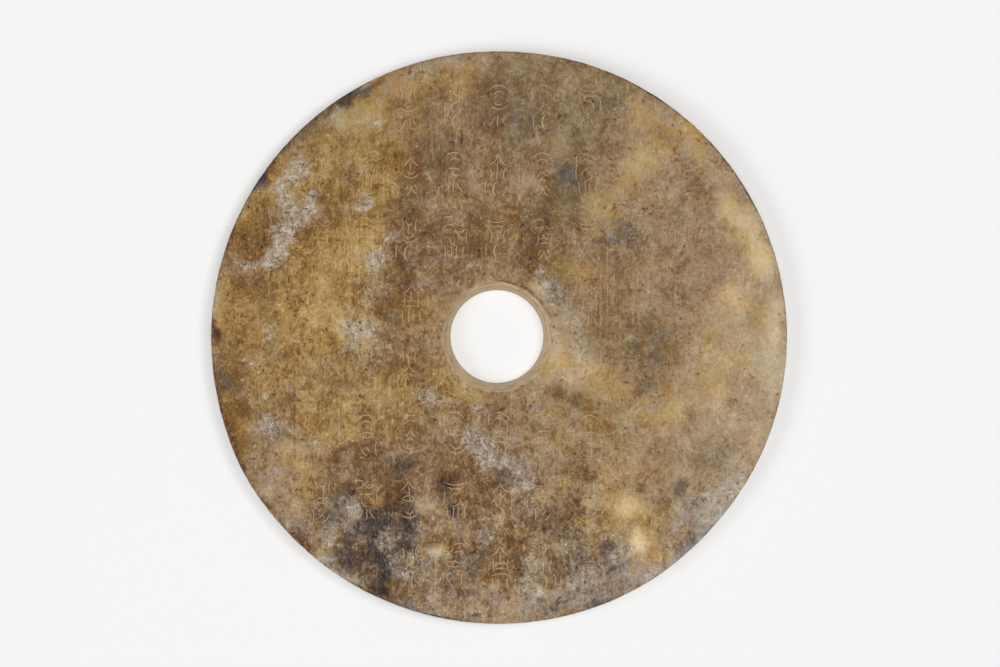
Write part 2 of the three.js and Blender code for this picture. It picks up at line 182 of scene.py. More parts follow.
# Where each kind of cloud lies on the face, in millimetres, from the far side to the near one: its
# middle, half length, half width, the turn of its length in degrees, and its strength in hundredths
CLOUDS = {
    # Coarser, stronger flecks
    "coarse": [
        (0, 40, 30, 20, 0, 20), (-62, 10, 70, 55, 90, 30), (-10, -75, 75, 45, 0, 45),
        (-45, -80, 20, 20, 0, 40),
    ],
    # Golden tan, where iron has warmed the stone
    "ochre": [
        (-58, 90, 8, 6, -30, 50), (-47, 90, 12, 6, 20, 40), (-38, 94, 16, 8, 15, 50),
        (-18, 96, 9, 6, -40, 60), (-13, 101, 9, 8, 0, 50), (-33, 79, 8, 5, 90, 50),
        (-32, 89, 14, 6, 0, 30), (75, 81, 10, 3, -45, 80), (-58, 68, 28, 20, 20, 70),
        (56, 69, 10, 6, -40, 50), (60, 78, 24, 9, -38, 50), (78, 73, 13, 7, -50, 40),
        (-91, 59, 12, 5, 60, 60), (-85, 58, 11, 9, 40, 70), (-77, 63, 8, 7, 0, 40),
        (-71, 57, 8, 5, 90, 40), (-39, 57, 6, 7, -40, 30), (50, 60, 14, 10, 60, 40),
        (-100, 46, 8, 14, 10, 90), (-50, 43, 20, 9, 80, 70), (-18, 54, 9, 7, 0, 30),
        (40, 50, 8, 7, 0, 50), (88, 46, 10, 5, 70, 50), (94, 42, 18, 8, -62, 30), (5, 41, 10, 4, 80, 30),
        (-98, 29, 9, 4, -10, 50), (-70, 18, 34, 26, 80, 80), (-52, 30, 14, 6, -30, 30),
        (-46, 28, 6, 6, 0, 40), (0, 21, 20, 4, 0, 25), (25, 27, 8, 6, 0, 50), (34, 24, 9, 6, 0, 40),
        (36, 20, 7, 6, 0, 30), (98, 28, 7, 5, 70, 60), (-104, 11, 14, 12, 90, 80), (-88, 10, 7, 6, 0, 40),
        (-29, 8, 13, 12, 0, 40), (90, 15, 8, 7, 90, 60), (-75, 3, 14, 14, 0, 35),
        (-70, -3, 12, 8, 30, 40), (-52, 5, 7, 7, 0, 50), (-36, -3, 6, 4, 0, 35), (34, 6, 5, 4, 0, 50),
        (106, 5, 8, 3, 90, 30), (-100, -10, 8, 12, 0, 30), (-84, -12, 24, 20, 0, 50),
        (-62, -13, 14, 6, 40, 40), (-18, -15, 14, 11, 0, 60), (18, -14, 5, 5, 0, 40),
        (23, -8, 9, 8, 0, 60), (82, -10, 20, 9, 90, 40), (93, -10, 5, 5, 0, 60), (-95, -28, 9, 6, 0, 40),
        (-88, -18, 7, 6, 0, 40), (-40, -20, 22, 14, 0, 50), (-14, -27, 10, 7, 40, 40),
        (18, -28, 8, 7, 0, 30), (44, -18, 16, 8, -25, 50), (62, -27, 12, 10, 0, 50),
        (84, -25, 5, 6, 0, 30), (-101, -38, 5, 14, 20, 90), (-98, -34, 6, 8, 0, 40),
        (-64, -31, 20, 13, 0, 80), (-40, -35, 9, 5, 80, 40), (-23, -33, 6, 5, 0, 30),
        (20, -38, 12, 12, 0, 30), (40, -31, 14, 6, 0, 25), (55, -38, 8, 8, 0, 30), (66, -34, 7, 5, 0, 40),
        (-78, -48, 12, 12, 0, 40), (-70, -52, 13, 7, 65, 50), (42, -42, 20, 12, 80, 30),
        (48, -47, 7, 5, 0, 40), (60, -50, 7, 6, 90, 40), (-76, -63, 5, 5, 0, 40),
        (-45, -64, 7, 5, 60, 40), (22, -57, 7, 5, 0, 40), (45, -57, 8, 10, 0, 30),
        (-65, -76, 5, 12, 25, 40), (-45, -66, 10, 5, 20, 30), (-24, -78, 8, 8, 0, 50),
        (33, -71, 6, 5, 0, 50), (50, -70, 16, 14, 0, 60), (-48, -86, 9, 5, 0, 30),
        (-28, -85, 5, 5, 0, 35), (59, -83, 8, 6, -30, 80), (-8, -92, 14, 9, 0, 30),
        (-8, -103, 7, 4, 90, 30),
    ],
    # Brown, where iron has stained it
    "brown": [
        (-40, 68, 13, 7, -20, 65), (-3, 68, 6, 5, 0, 30), (65, 76, 7, 5, 0, 25), (-60, 63, 8, 3, 0, 30),
        (-31, 60, 9, 5, 80, 40), (-17, 62, 13, 6, 90, 30), (-15, 60, 7, 5, 90, 25),
        (-2, 65, 4, 12, 0, 25), (5, 55, 8, 4, 0, 30), (49, 60, 4, 10, 0, 25), (73, 62, 15, 6, -70, 35),
        (-101, 42, 6, 4, 70, 60), (-89, 52, 5, 4, 0, 50), (-64, 54, 9, 4, 15, 45), (-64, 50, 7, 5, 0, 25),
        (-56, 46, 11, 5, 10, 35), (-48, 46, 5, 5, 0, 30), (-38, 47, 10, 6, 70, 50),
        (-33, 42, 9, 5, 60, 40), (-22, 42, 9, 7, 0, 45), (0, 44, 12, 9, 0, 55), (20, 50, 8, 5, 50, 50),
        (32, 45, 7, 5, 0, 30), (62, 50, 9, 7, 0, 25), (78, 50, 8, 5, 80, 35), (90, 53, 6, 4, -50, 30),
        (93, 50, 7, 6, -50, 35), (-98, 34, 7, 5, 0, 50), (-92, 40, 9, 7, 60, 80), (-90, 32, 9, 7, 80, 30),
        (-82, 33, 9, 4, 0, 30), (-74, 38, 6, 4, 0, 45), (-68, 38, 7, 6, 0, 35), (-66, 38, 13, 9, 10, 30),
        (-36, 36, 9, 7, 60, 55), (-36, 39, 6, 4, 0, 30), (-20, 32, 6, 5, 0, 35), (-9, 33, 13, 4, 10, 40),
        (-8, 38, 9, 8, 0, 55), (11, 38, 13, 5, 80, 70), (18, 35, 6, 4, 90, 30), (22, 34, 9, 7, 60, 35),
        (57, 37, 8, 6, 0, 25), (83, 36, 11, 7, -20, 30), (90, 31, 7, 4, 0, 20), (97, 31, 6, 4, -60, 30),
        (-93, 20, 12, 7, 0, 35), (-89, 30, 10, 5, 0, 25), (-73, 23, 9, 5, 80, 35), (-63, 22, 5, 7, 0, 30),
        (-37, 21, 13, 5, 85, 75), (-30, 20, 6, 5, 0, 25), (-18, 27, 9, 5, 0, 30), (12, 26, 8, 4, 80, 60),
        (46, 20, 14, 11, 0, 35), (75, 23, 16, 8, 0, 20), (-97, 7, 6, 5, 0, 35), (-43, 10, 9, 6, 70, 60),
        (-40, 8, 7, 4, 0, 30), (-33, 13, 10, 6, 80, 50), (-18, 14, 6, 4, 60, 30), (99, 10, 9, 7, 0, 35),
        (-108, 1, 4, 3, 80, 90), (-101, 2, 9, 5, 0, 30), (-68, 0, 6, 6, 0, 25), (-37, 5, 6, 5, 0, 25),
        (-21, 2, 6, 3, 90, 40), (42, 3, 9, 8, 0, 45), (58, -3, 18, 12, 0, 40), (78, 3, 7, 5, 90, 40),
        (98, 6, 7, 6, 0, 40), (-104, -15, 13, 6, 80, 60), (-80, -13, 9, 5, 0, 25),
        (-55, -17, 9, 5, 0, 30), (-40, -11, 9, 4, 0, 35), (-36, -15, 11, 6, 85, 40),
        (-98, -27, 4, 4, 0, 60), (-80, -24, 4, 3, 0, 40), (-76, -20, 6, 5, 0, 30),
        (-45, -19, 10, 5, 0, 25), (-38, -24, 5, 4, 0, 30), (2, -29, 8, 5, 80, 50), (8, -22, 7, 4, 90, 50),
        (21, -21, 6, 3, -20, 50), (32, -24, 9, 3, -10, 70), (45, -18, 7, 5, 0, 35),
        (60, -20, 10, 7, 0, 30), (61, -25, 8, 6, 80, 35), (75, -20, 7, 5, 0, 25), (88, -18, 12, 5, 0, 25),
        (-103, -33, 9, 4, -75, 75), (-103, -40, 11, 5, -70, 50), (-98, -38, 8, 5, 90, 35),
        (-71, -33, 6, 4, 0, 30), (-32, -37, 9, 6, 0, 50), (-30, -31, 7, 5, 80, 35), (1, -38, 6, 5, 0, 30),
        (12, -38, 6, 6, 0, 40), (38, -33, 6, 5, 0, 40), (95, -37, 5, 5, 0, 30),
        (-103, -44, 7, 3, -65, 40), (-62, -47, 5, 5, 0, 45), (-50, -45, 6, 6, 0, 50),
        (-48, -53, 7, 6, 0, 30), (-43, -52, 6, 4, 0, 50), (-36, -52, 7, 6, 0, 60),
        (-24, -43, 9, 5, 0, 35), (-15, -50, 8, 8, 0, 50), (0, -50, 5, 5, 0, 30), (30, -43, 7, 4, 0, 40),
        (34, -52, 8, 5, 0, 45), (55, -54, 8, 6, 0, 30), (62, -42, 6, 5, 0, 40), (-61, -57, 6, 5, 0, 50),
        (-52, -63, 6, 5, 0, 45), (-40, -60, 9, 6, 10, 95), (-28, -64, 9, 6, -30, 30),
        (-21, -57, 10, 6, -75, 75), (-20, -63, 9, 5, 70, 45), (-16, -61, 4, 5, 0, 30),
        (-12, -58, 10, 8, 0, 40), (5, -58, 9, 4, 80, 25), (5, -64, 5, 5, 0, 30), (15, -55, 4, 4, 0, 70),
        (62, -65, 5, 4, 60, 40), (-75, -77, 7, 3, -50, 80), (-8, -70, 12, 5, 80, 45),
        (5, -74, 8, 7, 0, 60), (25, -67, 8, 7, 0, 45), (-27, -79, 13, 4, 0, 30), (-4, -87, 11, 10, 0, 55),
        (-3, -83, 5, 4, 0, 30), (8, -84, 9, 4, 80, 85), (20, -89, 7, 5, 80, 30), (29, -84, 6, 5, 0, 40),
        (40, -80, 8, 5, 0, 50), (-45, -98, 8, 3, -25, 60), (-37, -92, 6, 5, 80, 35),
        (-18, -90, 8, 6, 0, 40), (-11, -93, 7, 5, 80, 30),
    ],
    # Grey, olive where it is thin
    "shade": [
        (28, 103, 8, 4, 0, 30), (-48, 92, 8, 5, 20, 25), (-35, 92, 9, 8, 0, 35), (-25, 92, 10, 5, 85, 35),
        (-2, 100, 9, 4, 80, 50), (-2, 92, 11, 5, 85, 35), (43, 90, 7, 4, 15, 60), (-55, 80, 7, 5, 0, 30),
        (-38, 86, 5, 14, 0, 25), (-8, 85, 7, 7, 0, 45), (10, 88, 24, 18, 0, 50), (10, 81, 9, 5, 0, 40),
        (18, 85, 7, 7, 0, 30), (51, 80, 10, 6, 90, 30), (63, 80, 7, 4, -35, 30), (-68, 78, 6, 5, 0, 35),
        (-28, 72, 15, 8, 80, 45), (-17, 70, 10, 9, 0, 35), (3, 68, 9, 5, 80, 40),
        (27, 74, 18, 13, 40, 45), (30, 77, 5, 4, 60, 50), (66, 78, 8, 5, -40, 20),
        (-90, 61, 7, 5, 50, 40), (-14, 55, 9, 7, 0, 25), (21, 59, 5, 4, 0, 40), (28, 61, 8, 7, 0, 70),
        (50, 65, 6, 4, 90, 30), (-34, 50, 9, 5, 80, 40), (-27, 42, 9, 5, 80, 35), (17, 42, 7, 4, 80, 55),
        (20, 54, 7, 6, 0, 25), (31, 53, 7, 5, 80, 50), (14, 33, 7, 4, 80, 50), (26, 41, 8, 6, 60, 25),
        (39, 36, 5, 4, 0, 40), (45, 40, 7, 6, 0, 60), (51, 37, 6, 4, 80, 50), (67, 32, 7, 5, 0, 30),
        (-95, 22, 10, 8, 80, 20), (-34, 25, 6, 4, 60, 45), (66, 26, 6, 6, 0, 20), (67, 18, 6, 4, 0, 50),
        (62, 10, 8, 5, 0, 25), (68, 14, 11, 6, 0, 30), (74, 17, 5, 4, 0, 35), (56, 5, 9, 5, -10, 45),
        (58, -6, 11, 10, 0, 50), (-105, -12, 9, 4, 85, 40), (56, -17, 8, 5, 0, 45),
        (76, -14, 2.5, 2.5, 0, 80), (80, -13, 10, 5, -20, 25), (98, -20, 6, 5, 0, 25),
        (89, -40, 8, 6, 0, 35), (78, -45, 9, 7, 0, 45), (-60, -65, 7, 4, 0, 20), (-38, -55, 10, 4, 0, 20),
        (50, -62, 8, 3, 0, 20), (58, -64, 5, 4, 0, 30), (66, -60, 6, 4, 30, 60),
        (-70, -66, 8, 5, -40, 35), (17, -68, 8, 6, 0, 50), (30, -70, 7, 8, 0, 35), (68, -71, 4, 5, 0, 40),
        (35, -82, 7, 7, 0, 40), (-41, -91, 9, 6, 80, 50), (-37, -94, 4, 8, 0, 40),
        (-36, -92, 7, 5, 85, 30), (-30, -95, 8, 5, -15, 40),
    ],
    # Blue-black, the deepest stain
    "ink": [
        (-56, 92.5, 8, 3, 27, 90), (-48, 97, 6, 2, 25, 60), (-67, 86, 6, 1.5, 38, 50),
        (-84, 70, 6, 2.5, 50, 60), (-76, 78, 9, 2.5, 44, 70), (-91, 62, 6, 2, 55, 70),
        (28, 61, 5, 4, 0, 30), (-109, 2, 3, 1.5, 90, 80), (-100, -45, 6, 1.6, -62, 60),
        (-52, -52, 6, 4, 80, 35), (-45, -42, 5, 4, 0, 30), (-36, -47, 8, 4, 0, 50),
        (0, -53, 5, 4, 80, 35), (-90, -62, 7, 1.5, -55, 50), (-58, -61, 6, 4, 0, 35),
        (-38, -65, 7, 6, 0, 50), (-20, -55, 6, 4, -70, 35), (69, -58, 4, 3, 30, 45),
        (-64, -71, 6, 4, 0, 35), (-58, -76, 6, 4, 0, 50), (-47, -70, 8, 6, 20, 85),
        (-36, -74, 10, 5, 75, 75), (-17, -67, 7, 3, -75, 60), (74, -77, 10, 2.5, 45, 45),
        (-57, -84, 8, 7, 0, 65), (-45, -83, 13, 6, 85, 90), (42, -82, 5, 4, 60, 50),
        (45, -88, 6, 3, 10, 70), (-45, -92, 6, 4, 80, 40), (-44, -98, 5, 2, -30, 60),
        (25, -102, 6, 3, 10, 45), (40, -101, 9, 3, 20, 40), (-35, -103, 7, 2, -20, 40),
    ],
    # Cream, the stone's own pale parts
    "cream": [
        (-20, 104, 8, 3, 8, 50), (-38, 95, 12, 6, 15, 35), (-57, 82, 10, 5, -8, 50),
        (-48, 88, 8, 4, 15, 30), (53, 86, 8, 5, 80, 40), (68, 79, 15, 6, -38, 50), (57, 73, 9, 9, 0, 30),
        (-10, 60, 7, 6, 0, 25), (11, 60, 5, 4, 0, 45), (46, 57, 9, 6, 40, 40), (52, 65, 7, 6, 0, 60),
        (86, 60, 6, 5, 0, 30), (-54, 42, 8, 6, 0, 30), (36, 48, 8, 6, 0, 35), (92, 46, 11, 7, -55, 85),
        (-61, 33, 13, 9, 10, 35), (100, 31, 11, 6, -70, 85), (-68, 20, 6, 6, 0, 40),
        (17, 18, 5, 4, -50, 30), (-107, 9, 6, 3, 95, 50), (-66, 8, 12, 7, 0, 40), (-19, 12, 8, 3, 60, 30),
        (92, 13, 9, 8, 0, 50), (105, 8, 11, 5, 88, 70), (-54, 3, 8, 6, 0, 35), (22, -5, 7, 5, 90, 70),
        (84, 0, 14, 12, 0, 25), (98, 4, 8, 8, 0, 40), (104, -6, 9, 4, 88, 50), (33, -12, 8, 7, -30, 60),
        (44, -17, 8, 5, -20, 30), (-41, -22, 12, 5, 0, 30), (-10, -22, 8, 4, -30, 30),
        (63, -26, 9, 8, 0, 35), (80, -18, 12, 12, 0, 35), (100, -18, 16, 8, 85, 35),
        (96, -36, 8, 8, 0, 25), (-80, -42, 6, 3, -20, 45), (-75, -50, 5, 4, 0, 30),
        (-27, -64, 8, 5, 10, 50), (38, -62, 9, 6, 0, 30), (50, -64, 8, 7, 0, 75), (54, -77, 6, 4, 0, 90),
        (-23, -82, 5, 4, 0, 90), (-4, -97, 6, 6, 0, 30),
    ],
    # Paler stone, no warmer
    "pale": [
        (-52, 97, 11, 3, 25, 50), (2, 102, 8, 5, 0, 30), (27, 96, 6, 6, 0, 25), (20, 89, 9, 5, 85, 35),
        (28, 81, 12, 6, -40, 35), (-76, 78, 9, 3, 45, 50), (-47, 70, 7, 5, 0, 20), (6, 75, 8, 7, 90, 30),
        (22, 75, 8, 7, 0, 40), (70, 66, 11, 8, 0, 25), (-85, 56, 7, 6, 0, 20), (-60, 58, 7, 4, 80, 25),
        (-27, 60, 5, 5, 0, 30), (26, 60, 6, 5, 0, 35), (61, 57, 7, 5, 0, 25), (-91, 48, 7, 5, 0, 30),
        (-37, 49, 5, 5, 0, 40), (-22, 43, 5, 5, 0, 25), (42, 45, 6, 4, 90, 30), (62, 54, 11, 7, 0, 30),
        (78, 49, 12, 5, 80, 25), (-2, 40, 14, 6, 0, 20), (88, 33, 9, 5, -60, 50), (-50, 23, 7, 4, 0, 25),
        (9, 25, 7, 4, 0, 30), (17, 18, 7, 4, -45, 35), (45, 22, 9, 5, 0, 25), (96, 20, 10, 5, 0, 40),
        (-85, 15, 10, 5, 90, 25), (15, 16, 9, 5, -45, 45), (42, 17, 8, 5, 80, 30), (-87, 0, 6, 5, 0, 25),
        (-54, 1, 8, 6, 0, 30), (-53, 3, 7, 7, 0, 45), (-53, 5, 9, 8, 0, 45), (23, 4, 8, 7, 90, 50),
        (32, -3, 7, 5, 90, 40), (47, 0, 9, 5, 0, 20), (50, 0, 10, 7, 0, 30), (-104, -15, 7, 5, 80, 30),
        (-68, -12, 5, 5, 0, 30), (-18, -14, 6, 6, 0, 30), (24, -13, 9, 6, -20, 45), (57, -7, 4, 4, 0, 30),
        (86, -10, 85, 48, 90, 32), (91, -8, 6, 5, 0, 25), (108, -12, 26, 4, 86, 50),
        (-55, -25, 7, 6, 0, 30), (-27, -28, 6, 5, 0, 25), (7, -21, 7, 4, -20, 50),
        (16, -18, 8, 5, 45, 45), (35, -22, 9, 4, -10, 30), (106, -22, 12, 3, 75, 30),
        (12, -38, 8, 5, 0, 30), (13, -33, 5, 5, 0, 40), (14, -35, 4, 5, 0, 30), (30, -40, 9, 6, 0, 30),
        (51, -32, 6, 5, 0, 30), (62, -39, 10, 6, 0, 30), (73, -37, 6, 5, 0, 20), (85, -34, 10, 8, 0, 35),
        (102, -40, 12, 6, 65, 30), (-85, -47, 8, 5, 20, 20), (-83, -50, 11, 5, 30, 35),
        (-43, -42, 7, 4, -20, 35), (18, -45, 6, 7, 0, 30), (46, -51, 12, 6, 0, 25),
        (98, -45, 8, 6, 60, 30), (-90, -57, 8, 5, 60, 30), (-82, -62, 9, 6, -50, 30),
        (88, -61, 8, 5, 55, 50), (89, -56, 10, 6, 60, 30), (-65, -72, 6, 5, 0, 35),
        (-63, -73, 6, 4, 0, 30), (-41, -70, 10, 4, 85, 30), (-39, -77, 5, 4, 0, 50),
        (-1, -74, 6, 4, 0, 30), (-1, -73, 8, 4, -40, 35), (3, -76, 7, 5, 0, 35), (47, -78, 7, 6, 0, 35),
        (62, -74, 62, 36, 30, 13), (79, -66, 10, 8, 0, 35), (80, -78, 13, 6, 45, 60),
        (84, -66, 13, 6, 50, 60), (-66, -85, 9, 4, -40, 40), (-48, -89, 5, 5, 0, 35),
        (31, -83, 6, 4, 0, 40), (46, -80, 14, 6, 10, 50), (47, -86, 8, 5, 80, 40),
        (61, -86, 12, 6, 30, 40), (-53, -94, 9, 4, -30, 50), (25, -97, 6, 5, 0, 30),
        (32, -102, 10, 3, 20, 40), (-33, -103, 12, 3, -15, 60), (0, -109, 16, 2, 0, 40),
        (5, -104, 13, 4, 0, 35),
    ],
    # A cool, bluish veil
    "haze": [
        (-40, 95, 8, 5, 20, 30), (9, 83, 12, 7, 0, 35), (44, 89, 9, 6, 0, 40), (50, 85, 9, 5, -40, 35),
        (0, 67, 5, 9, 0, 35), (68, 70, 12, 5, -50, 30), (70, 73, 10, 5, -60, 30), (-95, 55, 8, 4, 60, 50),
        (-57, 64, 12, 8, 70, 35), (-18, 64, 12, 5, 0, 25), (22, 60, 8, 6, 0, 35), (94, 57, 8, 5, -50, 50),
        (-98, 50, 9, 4, 60, 50), (4, 42, 14, 10, 0, 35), (92, 53, 6, 4, -50, 40),
        (96, 42, 12, 4, -60, 30), (-75, 36, 9, 5, 0, 25), (46, 38, 9, 7, 0, 35), (50, 40, 10, 8, 0, 25),
        (-34, 25, 4, 7, 0, 40), (-30, 20, 8, 6, 0, 25), (20, 20, 10, 5, -50, 40), (24, 24, 9, 5, 80, 50),
        (-111, 12, 14, 4, 85, 50), (-108, 10, 9, 3, 90, 50), (-40, 8, 7, 8, 0, 40), (22, 13, 7, 5, 0, 40),
        (68, 17, 8, 5, 0, 25), (95, 12, 10, 5, -45, 45), (25, -6, 7, 6, 0, 40), (52, -6, 4, 8, 0, 30),
        (58, -6, 10, 16, 0, 20), (-105, -14, 12, 5, 85, 35), (-35, -12, 12, 5, 0, 30),
        (-75, -22, 7, 6, 0, 30), (46, -18, 7, 5, 0, 30), (60, -24, 7, 6, 80, 50), (62, -20, 4, 6, 0, 40),
        (-75, -37, 16, 6, 0, 40), (-58, -32, 7, 6, 0, 30), (5, -36, 11, 6, 90, 40),
        (-86, -52, 12, 8, 80, 40), (-40, -52, 12, 6, 0, 50), (5, -54, 8, 5, 90, 40),
        (38, -46, 7, 4, 80, 50), (83, -43, 8, 6, 0, 35), (92, -50, 16, 10, 60, 35),
        (-62, -62, 7, 6, 0, 40), (-60, -62, 12, 7, 0, 35), (-22, -60, 8, 6, 80, 40),
        (6, -57, 8, 10, -20, 50), (88, -60, 12, 6, 55, 50), (-76, -75, 11, 5, -45, 60),
        (-76, -73, 8, 4, -45, 50), (-58, -72, 14, 9, -20, 55), (-32, -70, 5, 14, 0, 40),
        (-25, -77, 12, 5, 0, 60), (-19, -75, 6, 5, 0, 30), (2, -73, 8, 4, 0, 30),
        (46, -76, 10, 8, 60, 40), (70, -67, 8, 6, 0, 40), (76, -68, 12, 6, 20, 70),
        (82, -66, 16, 9, 50, 50), (84, -73, 22, 7, 45, 90), (-66, -87, 9, 4, -40, 50),
        (-32, -86, 12, 10, 0, 60), (-11, -88, 14, 6, 10, 70), (5, -80, 45, 26, 0, 25),
        (28, -87, 8, 7, 0, 50), (48, -85, 8, 6, 0, 40), (64, -88, 18, 7, 30, 70),
        (-54, -93, 9, 4, -30, 60), (-12, -97, 14, 8, 0, 50), (25, -90, 12, 7, 0, 35),
        (35, -98, 18, 9, 15, 70), (45, -90, 10, 8, 0, 40), (-30, -105, 14, 4, -12, 50),
        (5, -107, 16, 4, 0, 40), (13, -103, 9, 4, 10, 60), (18, -105, 10, 3, 10, 40),
    ],
    # Greener, towards the stone's own olive
    "olive": [
        (10, 98, 20, 10, 0, 70), (42, 96, 8, 8, 0, 70), (-60, 86, 20, 6, 25, 60), (-2, 88, 10, 8, 0, 30),
        (30, 82, 14, 12, 0, 90), (-80, 76, 12, 4, 45, 80), (-48, 70, 8, 6, 0, 70),
        (-22, 68, 12, 8, 70, 60), (8, 75, 9, 8, 0, 60), (52, 76, 12, 7, 90, 25), (28, 55, 22, 11, 80, 80),
        (-97, 51, 8, 4, 60, 60), (-83, 52, 8, 6, 0, 40), (-33, 50, 13, 7, 80, 60),
        (14, 40, 18, 13, 60, 40), (45, 38, 9, 7, 0, 35), (-49, 22, 8, 5, 0, 50), (-35, 28, 5, 5, 0, 30),
        (24, 25, 7, 6, 0, 80), (20, 10, 6, 5, 0, 30), (-50, 3, 10, 7, 0, 35), (35, 2, 6, 7, 0, 70),
        (54, -5, 9, 8, 0, 60), (105, -10, 6, 4, 90, 30), (29, -22, 10, 5, -20, 30),
        (48, -30, 12, 5, -30, 50), (14, -34, 6, 6, 0, 60), (18, -47, 9, 6, 0, 60),
        (82, -44, 10, 8, 0, 30), (-38, -56, 10, 5, 90, 35), (2, -75, 7, 4, 0, 50),
        (20, -70, 11, 6, 0, 70), (28, -84, 12, 4, 0, 30), (-50, -93, 8, 5, -30, 70),
    ],
    # Redder
    "rose": [
        (-40, 96, 5, 4, 0, 50), (-35, 80, 8, 6, 90, 35), (70, 81, 9, 6, -40, 60), (85, 55, 8, 7, 0, 60),
        (-76, 40, 9, 6, 0, 25), (-3, 34, 7, 4, 90, 40), (76, 33, 14, 11, 0, 35), (-96, 28, 10, 6, 0, 60),
        (-86, 30, 12, 8, 0, 20), (-65, 30, 14, 9, 80, 35), (56, 20, 9, 9, 0, 35),
        (84, 14, 22, 15, 90, 50), (-98, 4, 12, 9, 90, 50), (-23, 6, 12, 4, 90, 50),
        (-90, -10, 16, 12, 0, 35), (-60, -15, 14, 10, 0, 35), (43, -9, 4, 4, 0, 50),
        (-44, -30, 10, 8, 90, 35), (75, -19, 10, 8, 0, 60), (-99, -34, 9, 6, -70, 70),
        (62, -33, 7, 7, 0, 40), (96, -32, 14, 9, 70, 60), (-75, -50, 16, 8, 20, 30),
        (45, -48, 9, 8, 0, 60), (62, -49, 12, 6, 0, 50), (42, -62, 9, 6, 0, 40), (-78, -66, 5, 4, 0, 40),
        (70, -72, 12, 5, 30, 30), (-9, -85, 9, 7, 0, 50), (-8, -102, 10, 5, 0, 40),
        (36, -98, 10, 5, 20, 30), (57, -90, 10, 5, 30, 60),
    ],
    # Rubbed, with hairlines that run nearly upright
    "hatched": [
        (-20, 62, 26, 14, 90, 80), (8, 52, 30, 12, 90, 50), (74, 46, 20, 10, 88, 50),
        (-92, 36, 26, 10, 80, 60), (-52, 38, 40, 14, 88, 90), (45, 14, 22, 12, 88, 90),
        (26, -12, 14, 8, 90, 80), (-46, -28, 18, 12, 90, 70), (-75, -32, 22, 16, 90, 80),
        (-12, -60, 24, 10, 90, 50), (-45, -76, 24, 14, 88, 100), (22, -74, 24, 12, 90, 80),
    ],
    # Chalky white, where the stone has altered
    "chalk": [
        (-18, 105, 8, 2.5, 8, 60), (-34, 102, 5, 2, 20, 40), (-62, 86, 5, 3, 40, 60),
        (-46, 83, 4, 2, 0, 50), (-48, 72, 3, 3, 0, 35), (-84, 58, 6, 4, 20, 65), (-77, 63, 7, 5, 40, 70),
        (12, 60, 4, 3, 0, 30), (-82, 52, 6, 4, -60, 55), (-79, 42, 5, 3, 20, 80),
        (-78, 47, 6, 4, -50, 60), (-72, 49, 6, 4, 75, 85), (-70, 54, 4, 3, 0, 60),
        (-51, 51, 5, 3.5, 80, 75), (-35, 47, 6, 3, 80, 30), (-21, 50, 5, 4, 0, 35),
        (99, 45, 5, 3, -60, 35), (-86, 31, 6, 5, 30, 100), (-83, 39, 7, 5, 60, 100),
        (-52, 31, 6, 4, -20, 45), (-43, 38, 5, 4, 50, 50), (-19, 31, 6, 3, 30, 35),
        (-99, 28, 5, 2, 0, 45), (-92, 29, 8, 2.5, 10, 65), (-47, 28, 7, 6, 60, 60),
        (-34, 29, 6, 2, 85, 35), (-30, 20, 4, 3, 0, 35), (-10, 27, 6, 4, -20, 45), (16, 25, 5, 3, 70, 70),
        (22, 17, 6, 4, -55, 70), (26, 11, 5, 4, 0, 60), (-87, 2, 7, 3, 70, 55), (-54, 4, 9, 7, 0, 75),
        (-48, 4, 5, 3, 80, 50), (30, 5, 4, 4, 0, 40), (31, -5, 5, 4, -60, 60), (37, -9, 4, 2, -60, 50),
        (-90, -25, 4, 3, 80, 50), (-28, -23, 7, 5, -40, 65), (-20, -24, 4, 4, 0, 40),
        (-10, -27, 4, 3, 0, 60), (13, -27, 5, 4, 0, 55), (-88, -34, 6, 5, 0, 65), (-19, -37, 5, 2, 0, 40),
        (-9, -38, 6, 5, 0, 70), (21, -33, 5, 4, 0, 35), (28, -31, 4, 3, 0, 50), (50, -36, 7, 4, 0, 30),
        (-85, -47, 8, 3, 85, 45), (-71, -42, 5, 4, 0, 50), (-12, -43, 5, 3, 0, 50),
        (-5, -45, 8, 5, 75, 75), (2, -47, 6, 5, 0, 65), (9, -50, 7, 5, 80, 55), (18, -42, 6, 4, 0, 45),
        (22, -48, 5, 3, 0, 45), (-78, -55, 4, 3, 0, 40), (-57, -64, 6, 4, -30, 60), (5, -58, 5, 4, 0, 35),
        (12, -56, 4, 3, 90, 50), (72, -64, 6, 5, 0, 60), (80, -61, 7, 4, 10, 60), (86, -64, 7, 3, 50, 60),
        (91, -57, 7, 3, 58, 65), (-75, -72, 5, 4, 0, 40), (-66, -78, 6, 4, -40, 65),
        (-43, -78, 6, 4, 80, 65), (-20, -72, 6, 3, 0, 40), (-5, -77, 6, 5, 0, 60),
        (68, -72, 6, 4, 45, 45), (-40, -86, 5, 4, 0, 45), (10, -88, 11, 4, 85, 50),
        (33, -89, 5, 4, 0, 35), (45, -84, 7, 4, -20, 60), (50, -81, 4, 3, 40, 80),
        (-62, -91, 5, 3, -40, 50), (-60, -97, 4, 1.5, -32, 50), (-35, -91, 7, 3, -10, 50),
        (-24, -98, 8, 4, 80, 45), (12, -98, 8, 6, 0, 50), (26, -94, 7, 4, 0, 55), (38, -93, 6, 4, 0, 35),
        (48, -97, 7, 3, 25, 45), (58, -91, 8, 3, 30, 50), (-32, -104, 4, 2, -15, 50),
        (-10, -106, 6, 2.5, 0, 55), (1, -103, 6, 3, 80, 60), (22, -104, 5, 2, 10, 40),
    ],
}
